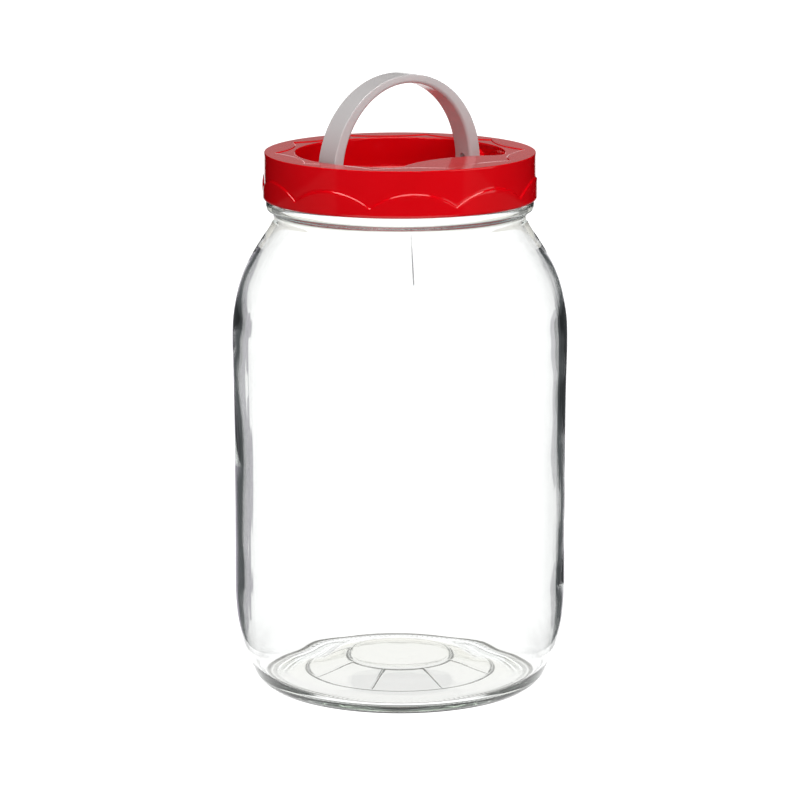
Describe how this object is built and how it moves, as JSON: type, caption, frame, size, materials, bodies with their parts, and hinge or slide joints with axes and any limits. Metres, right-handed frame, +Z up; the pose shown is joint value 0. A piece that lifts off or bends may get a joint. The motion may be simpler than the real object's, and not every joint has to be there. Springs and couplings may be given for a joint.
{
  "type": "storage jar",
  "caption": "Wide-mouth clear glass storage jar with a screw lid whose sunken well holds a folding arched carrying handle.",
  "frame": {"origin": "centre of the jar's foot, on the surface that it stands on", "axes": "+Z up along the jar's axis; +X along the handle's pivot axis; the flat web of the lid is on the -Y side"},
  "size_m": [0.1514, 0.1514, 0.2778],
  "materials": {
    "glass": "clear soda-lime glass, fire polished",
    "seal": "soft foamed seal, matt",
    "lid": "glossy injection-moulded plastic",
    "handle": "satin-gloss moulded plastic"
  },
  "bodies": {
    "jar": {"glass_jar": "glass"},
    "seal": {"sealing_ring": "seal"},
    "lid": {"screw_lid": "lid"},
    "bail": {"bail_handle": "handle"}
  },
  "joints": [
    {"name": "lid_lift", "type": "slide", "parent": "jar", "child": "seal", "axis": [0, 0, 1], "range_m": [0, 0.03]},
    {"name": "lid_turn", "type": "hinge", "parent": "seal", "child": "lid", "pos_m": [0, 0, 0.243], "axis": [0, 0, 1], "range_deg": [0, 540]},
    {"name": "bail_swing", "type": "hinge", "parent": "lid", "child": "bail", "pos_m": [0, 0, 0.2354], "axis": [1, 0, 0], "range_deg": [-91, 66]}
  ],
  "couplings": [
    {"joint": "lid_lift", "follows": "lid_turn", "m_per_rad": 0.0031831}
  ]
}
